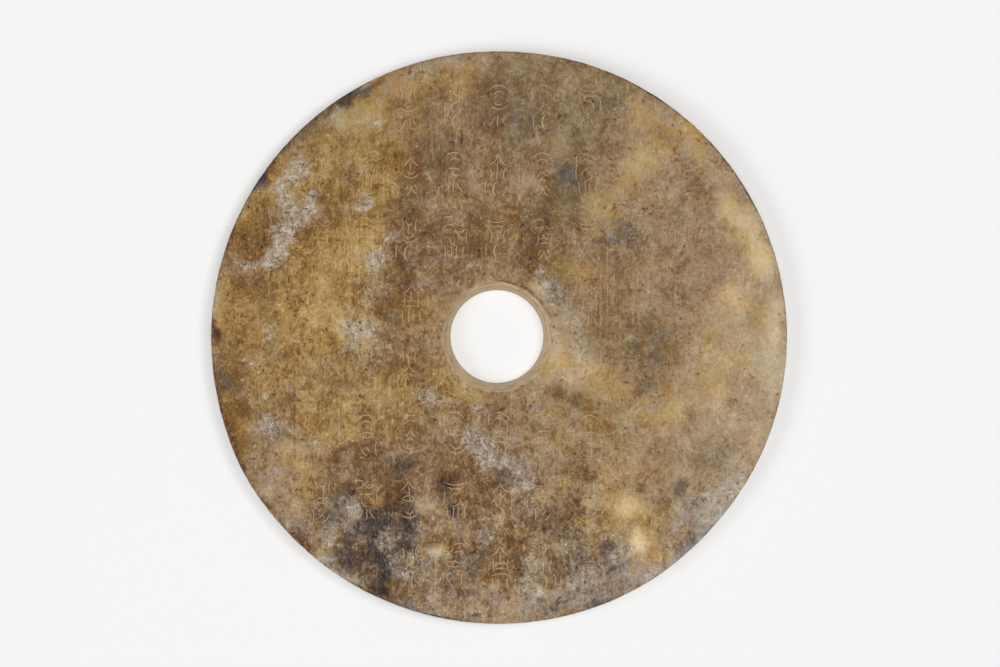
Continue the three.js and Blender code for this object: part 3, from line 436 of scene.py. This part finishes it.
# What stains the edges, and where the rim's edge is darker: at what angle, over what width in
# degrees, and its strength in hundredths
EDGE_MARKS = {
    # Rust on the rim, where earth has stuck
    "rust": [
        (157, 4, 50), (161, 2, 70), (167, 2, 50), (178, 3, 90), (188, 6, 60), (193, 3, 80), (199, 5, 100),
        (207, 3, 80), (216, 2, 60), (226, 4, 90), (233, 3, 50), (252, 2, 40), (318, 3, 50), (326, 2, 40),
    ],
    # Where the rim's own edge is darker
    "rim darkening": [
        (28, 8, 80), (40, 8, 70), (57, 10, 80), (75, 12, 55), (100, 12, 45), (121, 8, 80), (136, 6, 70),
        (147, 8, 80), (160, 8, 60), (190, 10, 50), (205, 6, 50), (222, 6, 50), (243, 10, 90),
        (258, 8, 80), (275, 8, 50), (288, 6, 60), (302, 6, 60), (313, 6, 40), (325, 7, 55), (355, 6, 40),
    ],
    # Dirt along the bore's lip
    "grime": [
        (11, 4, 60), (38, 8, 70), (50, 6, 90), (62, 8, 100), (76, 8, 80), (92, 8, 50), (118, 5, 50),
        (150, 6, 50), (168, 10, 80), (192, 8, 50), (212, 6, 40), (226, 3, 70), (265, 5, 60), (280, 5, 30),
        (296, 5, 90), (355, 3, 80),
    ],
}


def chance(seed, purpose):
    """A repeatable number from 0 to 1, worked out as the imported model's strokes are."""
    wave = math.sin(seed * 12.9898 + purpose * 78.233) * 43758.5453
    return wave - math.floor(wave)


def either_way(seed, purpose):
    """A repeatable number from -1 to 1."""
    return 2 * chance(seed, purpose) - 1


def smoothstep(value, low, high):
    """0 below low, 1 above high, and a smooth rise between them."""
    along = np.clip((value - low) / (high - low), 0, 1)
    return along * along * (3 - 2 * along)


def rim_radius(degrees):
    """The outline's radius at an angle or at many, in millimetres."""
    degrees = np.asarray(degrees, float)
    radius = RADIUS + OVAL_SWELL * np.cos(np.radians(2 * (degrees - OVAL_LONG_AXIS)))
    for at, width, rise in GRINDING:
        apart = (degrees - at + 180) % 360 - 180
        radius = radius + rise * np.exp(-((apart / width) ** 2))
    return radius


# ---------------------------------------------------------------------------------------------
# Modelling helpers
# ---------------------------------------------------------------------------------------------
def pick_only(piece):
    """Makes the piece the one that operators act on."""
    bpy.ops.object.select_all(action="DESELECT")
    piece.select_set(True)
    bpy.context.view_layer.objects.active = piece


def points_of(piece):
    """The piece's vertices in millimetres."""
    found = np.empty(3 * len(piece.data.vertices))
    piece.data.vertices.foreach_get("co", found)
    return found.reshape(-1, 3) / MM


def move_points(piece, points):
    piece.data.vertices.foreach_set("co", (points * MM).ravel())
    piece.data.update()


def apply(piece, kind, **settings):
    """Adds a modifier with its settings and applies it."""
    pick_only(piece)
    modifier = piece.modifiers.new(kind.title(), kind)
    for name, value in settings.items():
        setattr(modifier, name, value)
    bpy.ops.object.modifier_apply(modifier=modifier.name)


def group_points(piece, name, weights):
    """A vertex group of the given weights."""
    group = piece.vertex_groups.new(name=name)
    for index in np.flatnonzero(weights > 0.001):
        group.add([int(index)], float(weights[index]), "REPLACE")


def clouds(name, size, depth=2):
    """A cloudy texture for displacing, with lumps of about that size in millimetres."""
    texture = bpy.data.textures.new(name, "CLOUDS")
    texture.noise_scale = size * MM
    texture.noise_depth = depth
    return texture


# ---------------------------------------------------------------------------------------------
# The blank: a section drawn in the XZ plane and spun round the axis
# ---------------------------------------------------------------------------------------------
SPIN_STEPS = 480
FACE_RINGS = 52
UNDERSIDE_RINGS = 22


def arc(centre, radius, start, end, steps):
    """Points on a round corner of the section, after its first."""
    for step in range(1, steps + 1):
        angle = math.radians(start + (end - start) * step / steps)
        yield centre[0] + radius * math.cos(angle), centre[1] + radius * math.sin(angle)


def straight(start, end, steps):
    for step in range(1, steps + 1):
        yield tuple(a + (b - a) * step / steps for a, b in zip(start, end))


def section():
    """The disc's section as (radius, height), from the lip, over the face and round."""
    rim_inside = RADIUS - RIM_ROUNDING
    lip_inside = LIP_RADIUS + 0.5
    yield lip_inside, TOP
    yield from straight((lip_inside, TOP), (rim_inside, TOP), FACE_RINGS)
    yield from arc((rim_inside, TOP - RIM_ROUNDING), RIM_ROUNDING, 90, 0, 5)
    yield from straight((RADIUS, TOP - RIM_ROUNDING), (RADIUS, RIM_ROUNDING), 5)
    yield from arc((rim_inside, RIM_ROUNDING), RIM_ROUNDING, 0, -90, 5)
    yield from straight((rim_inside, 0), (LEDGE_RADIUS + 0.3, 0), UNDERSIDE_RINGS)
    yield from arc((LEDGE_RADIUS + 0.3, 0.3), 0.3, -90, -180, 2)
    yield LEDGE_RADIUS, LEDGE_HEIGHT
    yield from straight(
        (LEDGE_RADIUS, LEDGE_HEIGHT), (WALL_BOTTOM_RADIUS, LEDGE_HEIGHT + LEDGE_SLOPE), 2
    )
    yield from straight(
        (WALL_BOTTOM_RADIUS, LEDGE_HEIGHT + LEDGE_SLOPE), (WALL_TOP_RADIUS, TOP - LIP_DEPTH), 8
    )
    yield from straight((WALL_TOP_RADIUS, TOP - LIP_DEPTH), (LIP_RADIUS - 0.1, TOP - 0.25), 3)
    yield LIP_RADIUS + 0.1, TOP - 0.06


def spin_blank():
    corners = list(section())
    bpy.ops.object.select_all(action="DESELECT")
    start = (corners[0][0] * MM, 0, corners[0][1] * MM)
    bpy.ops.mesh.primitive_plane_add(size=MM, location=(0, 0, 0), enter_editmode=True)
    bpy.ops.mesh.merge(type="CENTER")
    bpy.ops.transform.translate(value=start)
    for here, there in zip(corners, corners[1:]):
        step = ((there[0] - here[0]) * MM, 0, (there[1] - here[1]) * MM)
        bpy.ops.mesh.extrude_vertices_move(TRANSFORM_OT_translate={"value": step})
    step = ((corners[0][0] - corners[-1][0]) * MM, 0, (corners[0][1] - corners[-1][1]) * MM)
    bpy.ops.mesh.extrude_vertices_move(TRANSFORM_OT_translate={"value": step})
    bpy.ops.mesh.select_all(action="SELECT")
    bpy.ops.mesh.remove_doubles(threshold=0.01 * MM)
    bpy.ops.mesh.select_all(action="SELECT")
    bpy.ops.mesh.spin(steps=SPIN_STEPS, angle=2 * math.pi, center=(0, 0, 0), axis=(0, 0, 1))
    bpy.ops.mesh.select_all(action="SELECT")
    bpy.ops.mesh.remove_doubles(threshold=0.01 * MM)
    bpy.ops.mesh.normals_make_consistent(inside=False)
    bpy.ops.object.mode_set(mode="OBJECT")
    disc = bpy.context.active_object
    disc.name = disc.data.name = "bi_disc_jade"
    return disc


def grind_outline(disc):
    """Leaves the rim as hand grinding did, and sets the bore off the centre."""
    points = points_of(disc)
    radius = np.hypot(points[:, 0], points[:, 1])
    degrees = np.degrees(np.arctan2(points[:, 1], points[:, 0]))
    outward = np.clip((radius - LIP_RADIUS) / (RADIUS - LIP_RADIUS), 0, 1)
    stretch = 1 + outward * (rim_radius(degrees) / RADIUS - 1)
    points[:, :2] *= stretch[:, None]
    points[:, :2] += (1 - outward)[:, None] * np.array(BORE_CENTRE)
    move_points(disc, points)


def wear_surface(disc):
    """Faces that were rubbed flat by hand and edges that have been knocked, all cut inwards."""
    points = points_of(disc)
    radius = np.hypot(points[:, 0], points[:, 1])
    lip = np.hypot(points[:, 0] - BORE_CENTRE.x, points[:, 1] - BORE_CENTRE.y)
    degrees = np.degrees(np.arctan2(points[:, 1], points[:, 0]))
    inset = rim_radius(degrees) - radius
    broken = np.exp(-((((degrees - LIP_BROKEN_AT + 180) % 360 - 180) / LIP_BROKEN_OVER) ** 2))
    high = smoothstep(points[:, 2], 3, TOP - 1)
    group_points(disc, "rim edge", 1 - smoothstep(inset, 0.6, 1.6))
    near_lip = 1 - smoothstep(abs(lip - LIP_RADIUS), 0.6, 2.2)
    group_points(disc, "lip edge", near_lip * high * (0.25 + broken))
    for name, size, depth, where in (
        ("rubbed face", 34, 0.12, ""),
        ("rubbing marks", 7, 0.05, ""),
        ("knocked rim", 2.2, 0.28, "rim edge"),
        ("crumbled lip", 2.6, 0.75, "lip edge"),
    ):
        apply(
            disc, "DISPLACE", texture=clouds(name, size), texture_coords="LOCAL", mid_level=1,
            strength=depth * MM, vertex_group=where,
        )


# ---------------------------------------------------------------------------------------------
# Chips and strokes, cut out of the blank
# ---------------------------------------------------------------------------------------------
def cut(disc, cutter, mark):
    """Cuts a piece out of the disc. The faces that it leaves are marked by a stand-in material."""
    cutter.data.materials.clear()
    cutter.data.materials.append(mark)
    apply(
        disc, "BOOLEAN", operation="DIFFERENCE", solver="MANIFOLD", material_mode="TRANSFER",
        object=cutter,
    )
    bpy.data.objects.remove(cutter)


def cut_chips(disc, mark):
    """Breaks the chips out of the two top edges with rough balls."""
    rough = clouds("chip", 1.6)
    for chips, centre, edge in (
        (LIP_CHIPS, BORE_CENTRE, lambda at: LIP_RADIUS),
        (RIM_CHIPS, Vector((0, 0)), rim_radius),
    ):
        for at, length, depth, height in chips:
            angle = math.radians(at)
            radius = float(edge(at))
            x, y = centre.x + radius * math.cos(angle), centre.y + radius * math.sin(angle)
            bpy.ops.mesh.primitive_ico_sphere_add(
                subdivisions=3, radius=MM, location=Vector((x, y, TOP)) * MM,
                rotation=(0, 0, angle), scale=(depth, length, height),
            )
            ball = bpy.context.active_object
            bpy.ops.object.transform_apply()
            apply(
                ball, "DISPLACE", texture=rough, texture_coords="LOCAL", mid_level=0.5,
                strength=CHIP_ROUGHNESS * MM,
            )
            cut(disc, ball, mark)


def cut_pits(disc, mark):
    """Sinks the pits into the face with small rough balls, joined into one cutter."""
    bpy.ops.object.select_all(action="DESELECT")
    balls = []
    for x, y, length, width, turn in PITS:
        bpy.ops.mesh.primitive_ico_sphere_add(
            subdivisions=2, radius=MM, location=(x * MM, y * MM, TOP * MM),
            rotation=(0, 0, math.radians(turn)), scale=(length, width, PIT_DEPTH),
        )
        balls.append(bpy.context.active_object)
    for ball in balls:
        ball.select_set(True)
    bpy.ops.object.join()
    cutter = bpy.context.active_object
    bpy.ops.object.transform_apply()
    apply(
        cutter, "DISPLACE", texture=clouds("pit", 0.7), texture_coords="LOCAL", mid_level=0.5,
        strength=PIT_ROUGHNESS * MM,
    )
    cut(disc, cutter, mark)


def stroke_curve(name, strokes):
    """Diamond-shaped cutters along many strokes. Half of each diamond lies in the face."""
    curve = bpy.data.curves.new(name, "CURVE")
    curve.dimensions = "3D"
    curve.bevel_depth = STROKE_HALF_WIDTH * MM
    curve.bevel_resolution = 0
    for points, strength in strokes:
        spline = curve.splines.new("POLY")
        spline.points.add(len(points) - 1)
        last = len(points) - 1
        for index, (x, y) in enumerate(points):
            taper = min(1, 4 * min(index, last - index) / last)
            spline.points[index].co = (x * MM, y * MM, TOP * MM, 1)
            spline.points[index].radius = strength * taper
    piece = bpy.data.objects.new(name, curve)
    bpy.context.scene.collection.objects.link(piece)
    pick_only(piece)
    bpy.ops.object.convert(target="MESH")
    bpy.ops.object.mode_set(mode="EDIT")
    bpy.ops.mesh.select_all(action="SELECT")
    bpy.ops.mesh.remove_doubles(threshold=0.002 * MM)
    bpy.ops.mesh.normals_make_consistent(inside=False)
    bpy.ops.object.mode_set(mode="OBJECT")
    return bpy.context.active_object


def draw_stroke(stroke, seed, number):
    """A stroke's points in millimetres, where it lies on the face, with the hand's tremor."""
    x, y, half_width, half_height, start, stop = stroke
    size = 1 + STRAY_SIZE * either_way(seed, SIZE)
    lean = math.radians(STRAY_LEAN * either_way(seed, LEAN))
    turn = -1 if either_way(seed, TURN) < 0 else 1
    points = []
    for step in range(STROKE_POINTS):
        angle = math.radians(start + (stop - start) * step / (STROKE_POINTS - 1))
        across = turn * (x + half_width * math.cos(angle)) * MARK_HALF_WIDTH * size
        along = (y + half_height * math.sin(angle)) * MARK_HALF_HEIGHT * size
        shake = TREMOR + 2 * step
        points.append((
            across * math.cos(lean) - along * math.sin(lean)
            + STROKE_TREMOR * either_way(seed + 7 * number, shake),
            across * math.sin(lean) + along * math.cos(lean)
            + STROKE_TREMOR * either_way(seed + 7 * number, shake + 1),
        ))
    return points


def inscription():
    """Every stroke as (layer, points, strength). Strokes that cross are in different layers."""
    for index, (first, last) in enumerate(ROWS):
        for row in (index + 0.5, -index - 0.5):
            for column in range(-last, last + 1):
                if abs(column) < first:
                    continue
                seed = row * SEEDS_PER_ROW + column
                centre_x = column * COLUMN_PITCH + STRAY_PLACE * either_way(seed, ACROSS)
                centre_y = row * ROW_PITCH + STRAY_PLACE * either_way(seed, ALONG)
                strength = 1 - (1 - WORN_STRENGTH) * float(smoothstep(centre_x, WEAR_FROM, WEAR_TO))
                for tier in (HEAD, BODY, FOOT):
                    form = FORMS[tier][int(chance(seed, tier) * len(FORMS[tier]))]
                    for number, stroke in enumerate(form):
                        points = draw_stroke(stroke, seed, number)
                        placed = [(centre_x + x, centre_y + y) for x, y in points]
                        yield (tier, number), placed, strength


def cut_inscription(disc, mark):
    layers = {}
    for layer, points, strength in inscription():
        layers.setdefault(layer, []).append((points, strength))
    for layer, strokes in layers.items():
        cut(disc, stroke_curve("strokes", strokes), mark)


# ---------------------------------------------------------------------------------------------
# Where the stone's clouds, cuts and worn edges lie, kept as attributes of the mesh
# ---------------------------------------------------------------------------------------------
def store(piece, name, values, domain="POINT"):
    attribute = piece.data.attributes.new(name, "FLOAT", domain)
    attribute.data.foreach_set("value", np.asarray(values, np.float32))


def store_clouds(disc):
    """How strongly each kind of cloud lies at each point. Less of it comes through underneath."""
    points = points_of(disc)
    through = THROUGH + (1 - THROUGH) * smoothstep(points[:, 2], 0.3, 3)
    for size, ragged in RAGGED:
        points += [ragged * noise.noise_vector(Vector(point) / size) for point in points]
    for name, clouds_of_kind in CLOUDS.items():
        clear = np.ones(len(points))
        for x, y, half_length, half_width, turn, strength in clouds_of_kind:
            angle = math.radians(turn)
            across, along = points[:, 0] - x, points[:, 1] - y
            u = (across * math.cos(angle) + along * math.sin(angle)) / half_length
            v = (along * math.cos(angle) - across * math.sin(angle)) / half_width
            clear *= 1 - strength / 100 * (1 - smoothstep(np.hypot(u, v), CLOUD_CORE, CLOUD_END))
        store(disc, name, (1 - clear) * through)


def store_edges(disc):
    """How far each point is from the rim's edges and the bore's axis, what has stained it, and where the rim
    is darker.
    """
    points = points_of(disc)
    radius = np.hypot(points[:, 0], points[:, 1])
    degrees = np.degrees(np.arctan2(points[:, 1], points[:, 0]))
    bore = np.hypot(points[:, 0] - BORE_CENTRE.x, points[:, 1] - BORE_CENTRE.y)
    off_faces = np.minimum(abs(TOP - points[:, 2]), abs(points[:, 2]))
    store(disc, "off the rim", np.hypot(rim_radius(degrees) - radius, off_faces))
    store(disc, "bore", bore)
    round_bore = np.degrees(np.arctan2(points[:, 1] - BORE_CENTRE.y, points[:, 0] - BORE_CENTRE.x))
    for name, marks_of_kind in EDGE_MARKS.items():
        clear = np.ones(len(points))
        angles = round_bore if name == "grime" else degrees
        for at, width, strength in marks_of_kind:
            apart = (angles - at + 180) % 360 - 180
            clear *= 1 - strength / 100 * np.exp(-((apart / width) ** 2))
        store(disc, name, 1 - clear)


def store_cuts(disc):
    """Turns the stand-in materials that mark cut faces into attributes, and takes them off."""
    count = len(disc.data.polygons)
    kinds, middles = np.empty(count, int), np.empty(3 * count)
    disc.data.polygons.foreach_get("material_index", kinds)
    disc.data.polygons.foreach_get("center", middles)
    across, along = middles[0::3] / MM, middles[1::3] / MM
    worn = 1 - (1 - WORN_STRENGTH) * smoothstep(across, WEAR_FROM, WEAR_TO)
    for x, y, half_width, half_height, rubbed in RUBBED_CLEAN:
        off_middle = np.hypot((across - x) / half_width, (along - y) / half_height)
        worn = worn * (1 - rubbed * (1 - smoothstep(off_middle, 0.6, 1.2)))
    names = [material.name for material in disc.data.materials]
    store(disc, "stroke", (kinds == names.index("stroke")) * worn, "FACE")
    store(disc, "chip", kinds == names.index("chip"), "FACE")
    disc.data.materials.clear()


# ---------------------------------------------------------------------------------------------
# The stone
# ---------------------------------------------------------------------------------------------
def linear(colour):
    """An sRGB hex colour as Blender's linear red, green, blue and alpha."""
    parts = [int(colour[at : at + 2], 16) / 255 for at in (1, 3, 5)]
    turned = [part / 12.92 if part <= 0.04045 else ((part + 0.055) / 1.055) ** 2.4 for part in parts]
    return turned + [1]


def add(tree, kind, inputs=None, output=None, **settings):
    """Adds a node with its settings, fills its inputs, and gives back one of its outputs."""
    made = tree.nodes.new(kind)
    for name, value in settings.items():
        setattr(made, name, value)
    for name, value in (inputs or {}).items():
        if isinstance(name, int):
            socket = made.inputs[name]
        else:
            socket = next(found for found in made.inputs if found.enabled and found.name == name)
        if isinstance(value, bpy.types.NodeSocket):
            tree.links.new(value, socket)
        else:
            socket.default_value = value
    outputs = [found for found in made.outputs if found.enabled and output in (None, found.name)]
    return outputs[0] if outputs else None


# Noise that the stone is made of: size in millimetres, detail, roughness, how far it is shifted,
# how twisted it is, and how its place is stretched along the rows' height, so that a small number
# makes long upright flecks. Nephrite's fibres and the grit's scratches are a few hundredths of a
# millimetre across, too fine to show, so the flecks and hairs are drawn at about a millimetre.
GRAINS = {
    "felt": (9, 4, 1.0, 0.0, 0.4, 0.85),
    "fine": (1.3, 2, 1.0, 0.31, 0, 0.6),
    "stain": (8, 2, 1.0, 0.73, 0.8, 1),
    "drift": (40, 2, 0.6, 0.43, 0, 1),
    "loose": (14, 2, 0.8, 0.17, 0, 1),
    "blot": (7, 3, 0.8, 0.37, 0.6, 0.8),
    "speck": (1.7, 1, 0.5, 0.61, 0, 1),
    "spot": (1.5, 1, 0.5, 0.83, 0, 1),
    "crumb": (4, 4, 1.0, 0.11, 0.8, 0.8),
    "powder": (1.2, 2, 1.0, 0.9, 0, 1),
    "hair": (0.9, 2, 0.6, 0.57, 0, 0.05),
}
# The rings round the bore: how many to a millimetre outwards, and how many times they waver in a
# metre along each axis
RINGS_PER_MM = 1.1
RING_WANDER = (180, 180, 60)
# Where dirt lies thickest round the bore
ARRIS_RADIUS = 21.2
# Masks: what each adds up, the sums between which it comes on, how far it comes on, and the mask
# that it lies within
MASKS = {
    "swarm": ({"loose": 1}, 0.4, 0.65, 1, None),
    "blots": ({"blot": 1}, 0.5, 0.58, 1, "coarseness"),
    "pits": ({"speck": 1}, 0.63, 0.72, 1, "swarm"),
    "dots": ({"spot": 1}, 0.67, 0.75, 1, "coarseness"),
    "pale hairs": ({"hair": 1, "hatched": 0.12}, 0.66, 0.76, 1, None),
    "dark hairs": ({"hair": -1, "hatched": 0.12}, -0.34, -0.24, 1, None),
    "warm": ({"ochre": 1, "brown": 0.45, "cream": 0.2, "drift": 0.4, "stain": 1.6}, 0.9, 2, 0.93, None),
    "cool": ({"shade": 0.4, "ink": 0.9, "haze": 0.8, "stain": -1.6}, -0.65, 0.2, 1, None),
    "chalky": ({"chalk": 1.2, "crumb": 2.2}, 1.28, 2.02, 0.82, None),
    "in strokes": ({"stroke": 1}, 0, 1, 0.75, None),
    "bore ring": ({"bore": -1, "stain": 1.6, "felt": 1.2}, -20.5, -18.9, 0.85, None),
    # Painted light: the bore's steep wall is lightened, standing in for light that comes through the stone
    # from the white floor
    "bore wall painted light": ({"bore": -1}, -19.5, -19, 0.45, None),
    # Painted shade: the foot of the bore's wall and its ledge are darkened, as shade at the bottom of the
    # hole
    "bore foot painted shade": ({"bore": -1}, -18.2, -17.9, 0.5, None),
    "lip line": ({"off the lip": -1.8, "grime": 1.6, "crumb": 3}, 1.9, 2.5, 0.55, None),
    # A dark line along the rim's rounded edge, at the angles listed
    "rim line": ({"off the rim": -1.1, "rim darkening": 2.2, "crumb": 2.4}, 1.6, 2.5, 0.85, None),
    "rusty": ({"off the rim": -0.5, "rust": 2.4, "crumb": 3.4}, 2.3, 3, 0.9, None),
}
# The stone's tone is from 0 to 1. How much each cloud or mask lightens or darkens it
MIDDLE_TONE = 0.513
LIFTS = {
    "cream": 0.3, "pale": 0.25, "ochre": 0.03, "brown": -0.22, "shade": -0.17, "ink": -0.36,
    "blots": -0.09, "pits": -0.22, "dots": 0.2, "pale hairs": 0.09, "dark hairs": -0.09, "chip": -0.15,
}
# Runs of colour from dark to light
SHADES = {
    "plain": {0: "#180000", 0.1: "#391500", 0.25: "#57360c", 0.4: "#6e5231", 0.5: "#856b4c",
              0.65: "#9b8769", 0.8: "#b2a186", 0.97: "#ccbda5"},
    "golden": {0: "#1b0000", 0.1: "#401800", 0.25: "#5d3700", 0.4: "#755316", 0.5: "#8f6c2f",
               0.65: "#a7874e", 0.8: "#c0a372", 0.97: "#d8c099"},
    "grey": {0: "#040000", 0.1: "#261915", 0.25: "#433730", 0.4: "#5d5148", 0.5: "#786d62",
             0.65: "#918980", 0.8: "#aba49b", 0.97: "#c6c1ba"},
    "white": {0.5: "#5d4c3b", 0.6: "#786552", 0.68: "#908070", 0.76: "#a79a8c", 0.85: "#bdb4aa",
              0.95: "#d6cfc8"},
    "drilled": {0.3: "#97805f", 0.5: "#b19875", 0.7: "#c8b08e"},
    "rusted": {0.35: "#2e0e00", 0.5: "#5f3306", 0.65: "#8a6236"},
}
# What is laid over the plain stone: a run or one colour, the mask that it shows through, and how
COATS = [
    ("golden", "warm", "MIX"),
    ("grey", "cool", "MIX"),
    ("#f1fffa", "olive", "MULTIPLY"),
    ("#fff8fa", "rose", "MULTIPLY"),
    ("drilled", "bore ring", "MIX"),
    # Painted light on the bore's steep wall
    ("#d4bc98", "bore wall painted light", "MIX"),
    # Painted shade at the bore's foot
    ("#7d6d58", "bore foot painted shade", "MIX"),
    ("white", "chalky", "MIX"),
    ("#4c3416", "lip line", "MIX"),
    ("#322818", "rim line", "MIX"),
    ("rusted", "rusty", "MIX"),
    ("#c6ac85", "in strokes", "MIX"),
]


def weathered_nephrite():
    """Nephrite jade, sawn, ground flat with grit, and long buried.

    The eye gets a waxy stone of felted fibres: tan and brown flecks about a millimetre across in
    larger drifting clouds, chalky where the surface has altered, with a worn, almost matt polish.
    """
    material = bpy.data.materials.new("weathered nephrite")
    material.use_nodes = True
    tree = material.node_tree
    tree.nodes.clear()

    # What the mesh keeps, and the noise
    values = {}
    for name in (*CLOUDS, "stroke", "chip", "off the rim", "bore", "rust", "rim darkening", "grime"):
        values[name] = add(tree, "ShaderNodeAttribute", output="Fac", attribute_name=name)
    place = add(tree, "ShaderNodeTexCoord", output="Object")
    for name, (size, detail, rough, shift, twist, stretch) in GRAINS.items():
        at = add(tree, "ShaderNodeMapping", {
            "Vector": place, "Location": (shift, shift, 0), "Scale": (1, stretch, 1),
        })
        values[name] = add(tree, "ShaderNodeTexNoise", {
            "Vector": at, "Scale": 1 / (size * MM), "Detail": detail, "Roughness": rough, "Distortion": twist,
        }, "Fac")

    # Rings that the tube drill left round the bore, about a millimetre apart and long drawn out
    outward = add(tree, "ShaderNodeMath", {0: values["bore"], 1: RINGS_PER_MM}, operation="MULTIPLY")
    upward = add(tree, "ShaderNodeCombineXYZ", {"Z": outward})
    rings = add(
        tree, "ShaderNodeVectorMath", {0: place, 1: RING_WANDER, 2: upward}, operation="MULTIPLY_ADD",
    )
    values["rings"] = add(tree, "ShaderNodeTexNoise", {"Vector": rings, "Scale": 1, "Detail": 2}, "Fac")
    past_lip = add(tree, "ShaderNodeMath", {0: values["bore"], 1: ARRIS_RADIUS}, operation="SUBTRACT")
    values["off the lip"] = add(tree, "ShaderNodeMath", {0: past_lip}, operation="ABSOLUTE")

    # How strong the flecks are
    values["coarseness"] = 0.7
    for name, weight in (("coarse", 1), ("cream", -0.45)):
        values["coarseness"] = add(tree, "ShaderNodeMath", {
            0: values[name], 1: weight, 2: values["coarseness"],
        }, operation="MULTIPLY_ADD")

    # The masks
    for name, (parts, low, high, most, within) in MASKS.items():
        total = 0.0
        for part, weight in parts.items():
            total = add(tree, "ShaderNodeMath", {
                0: values[part], 1: weight, 2: total,
            }, operation="MULTIPLY_ADD")
        values[name] = add(tree, "ShaderNodeMapRange", {
            "Value": total, "From Min": low, "From Max": high, "To Max": most,
        }, interpolation_type="SMOOTHSTEP")
        if within:
            values[name] = add(tree, "ShaderNodeMath", {
                0: values[name], 1: values[within],
            }, operation="MULTIPLY")

    # How light the stone is, from 0 to 1, and so what colour its fibres are
    fibres = -0.75
    for name, weight in (("felt", 0.95), ("fine", 0.55)):
        fibres = add(tree, "ShaderNodeMath", {
            0: values[name], 1: weight, 2: fibres,
        }, operation="MULTIPLY_ADD")
    tone = add(tree, "ShaderNodeMath", {
        0: fibres, 1: values["coarseness"], 2: MIDDLE_TONE,
    }, operation="MULTIPLY_ADD")
    for name, lift in LIFTS.items():
        tone = add(tree, "ShaderNodeMath", {0: values[name], 1: lift, 2: tone}, operation="MULTIPLY_ADD")

    # How thick the chalk's white dust is
    dust = -0.04
    for name, weight in (("felt", 0.7), ("powder", 0.8), ("pits", -0.3)):
        dust = add(tree, "ShaderNodeMath", {0: values[name], 1: weight, 2: dust}, operation="MULTIPLY_ADD")

    # The runs of colour, and the coats that they make
    runs = {}
    follows = {"white": dust, "drilled": values["rings"], "rusted": values["fine"]}
    for name, stops in SHADES.items():
        runs[name] = add(tree, "ShaderNodeValToRGB", {"Fac": follows.get(name, tone)}, "Color")
        run = runs[name].node.color_ramp.elements
        while len(run) < len(stops):
            run.new(0.5)
        for stop, (at, shade) in zip(run, stops.items()):
            stop.position, stop.color = at, linear(shade)
    stone = runs["plain"]
    for colour, mask, how in COATS:
        over = runs[colour] if colour in runs else linear(colour)
        stone = add(tree, "ShaderNodeMix", {
            "Factor": values[mask], "A": stone, "B": over,
        }, data_type="RGBA", blend_type=how)

    roughness = add(tree, "ShaderNodeMapRange", {"Value": values["chalky"], "To Min": 0.6, "To Max": 0.85})
    shader = add(tree, "ShaderNodeBsdfPrincipled", {
        "Base Color": stone, "Roughness": roughness, "IOR": 1.61, "Specular IOR Level": 0.38,
    })
    add(tree, "ShaderNodeOutputMaterial", {"Surface": shader})
    return material


# ---------------------------------------------------------------------------------------------
# Making the disc
# ---------------------------------------------------------------------------------------------
disc = spin_blank()
grind_outline(disc)
wear_surface(disc)
marks = {name: bpy.data.materials.new(name) for name in ("stone", "chip", "stroke")}
disc.data.materials.append(marks["stone"])
cut_chips(disc, marks["chip"])
cut_pits(disc, marks["chip"])
cut_inscription(disc, marks["stroke"])
store_clouds(disc)
store_edges(disc)
store_cuts(disc)
disc.data.materials.append(weathered_nephrite())
pick_only(disc)
bpy.ops.object.shade_smooth_by_angle(angle=math.radians(35))

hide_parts("bi_disc")
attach(disc, "root")

# ---------------------------------------------------------------------------------------------
# The floor, the light and the camera
# ---------------------------------------------------------------------------------------------
FLOOR_WIDTH = 4
CAMERA_HEIGHT = 1.5
CAMERA_OFFSET = Vector((0.34, 1.35)) * MM
VIEW_WIDTH = 0.382
SENSOR_WIDTH = 36

bpy.ops.mesh.primitive_plane_add(size=FLOOR_WIDTH)
floor = bpy.context.active_object
floor.name = "floor"

# White background paper, uncoated and rolled out flat. The eye gets an even white with no gloss.
paper = bpy.data.materials.new("white paper")
paper.use_nodes = True
paper_shader = paper.node_tree.nodes["Principled BSDF"]
paper_shader.inputs["Base Color"].default_value = linear("#e7e7e7")
paper_shader.inputs["Roughness"].default_value = 0.9
paper_shader.inputs["Specular IOR Level"].default_value = 0
floor.data.materials.append(paper)

camera_data = bpy.data.cameras.new("camera")
camera = bpy.data.objects.new("camera", camera_data)
bpy.context.scene.collection.objects.link(camera)
camera.location = (*CAMERA_OFFSET, CAMERA_HEIGHT)
camera_data.sensor_width = SENSOR_WIDTH
camera_data.lens = SENSOR_WIDTH * (CAMERA_HEIGHT - TOP * MM) / VIEW_WIDTH
bpy.context.scene.camera = camera


def softbox(name, azimuth, elevation, distance, width, power):
    """A round soft light that faces the disc, from degrees, metres and watts."""
    light = bpy.data.lights.new(name, "AREA")
    light.shape, light.size, light.energy = "DISK", width, power
    piece = bpy.data.objects.new(name, light)
    bpy.context.scene.collection.objects.link(piece)
    turn, rise = math.radians(azimuth), math.radians(elevation)
    flat = math.cos(rise)
    piece.location = Vector((flat * math.cos(turn), flat * math.sin(turn), math.sin(rise))) * distance
    piece.rotation_euler = piece.location.to_track_quat("Z", "Y").to_euler()
    return piece


softbox("window side", 198, 42, 2.0, 1.2, 11.8)
softbox("far side", 15, 63, 2.0, 0.9, 11.3)
softbox("front", 285, 72, 2.0, 0.9, 5.1)
softbox("overhead", 60, 87, 2.4, 0.25, 27.2).visible_glossy = False
world = bpy.data.worlds.new("studio walls")
world.use_nodes = True
walls = world.node_tree.nodes["Background"]
walls.inputs["Color"].default_value = (1, 1, 1, 1)
walls.inputs["Strength"].default_value = 0.133
bpy.context.scene.world = world
bpy.context.scene.view_settings.view_transform = "Standard"
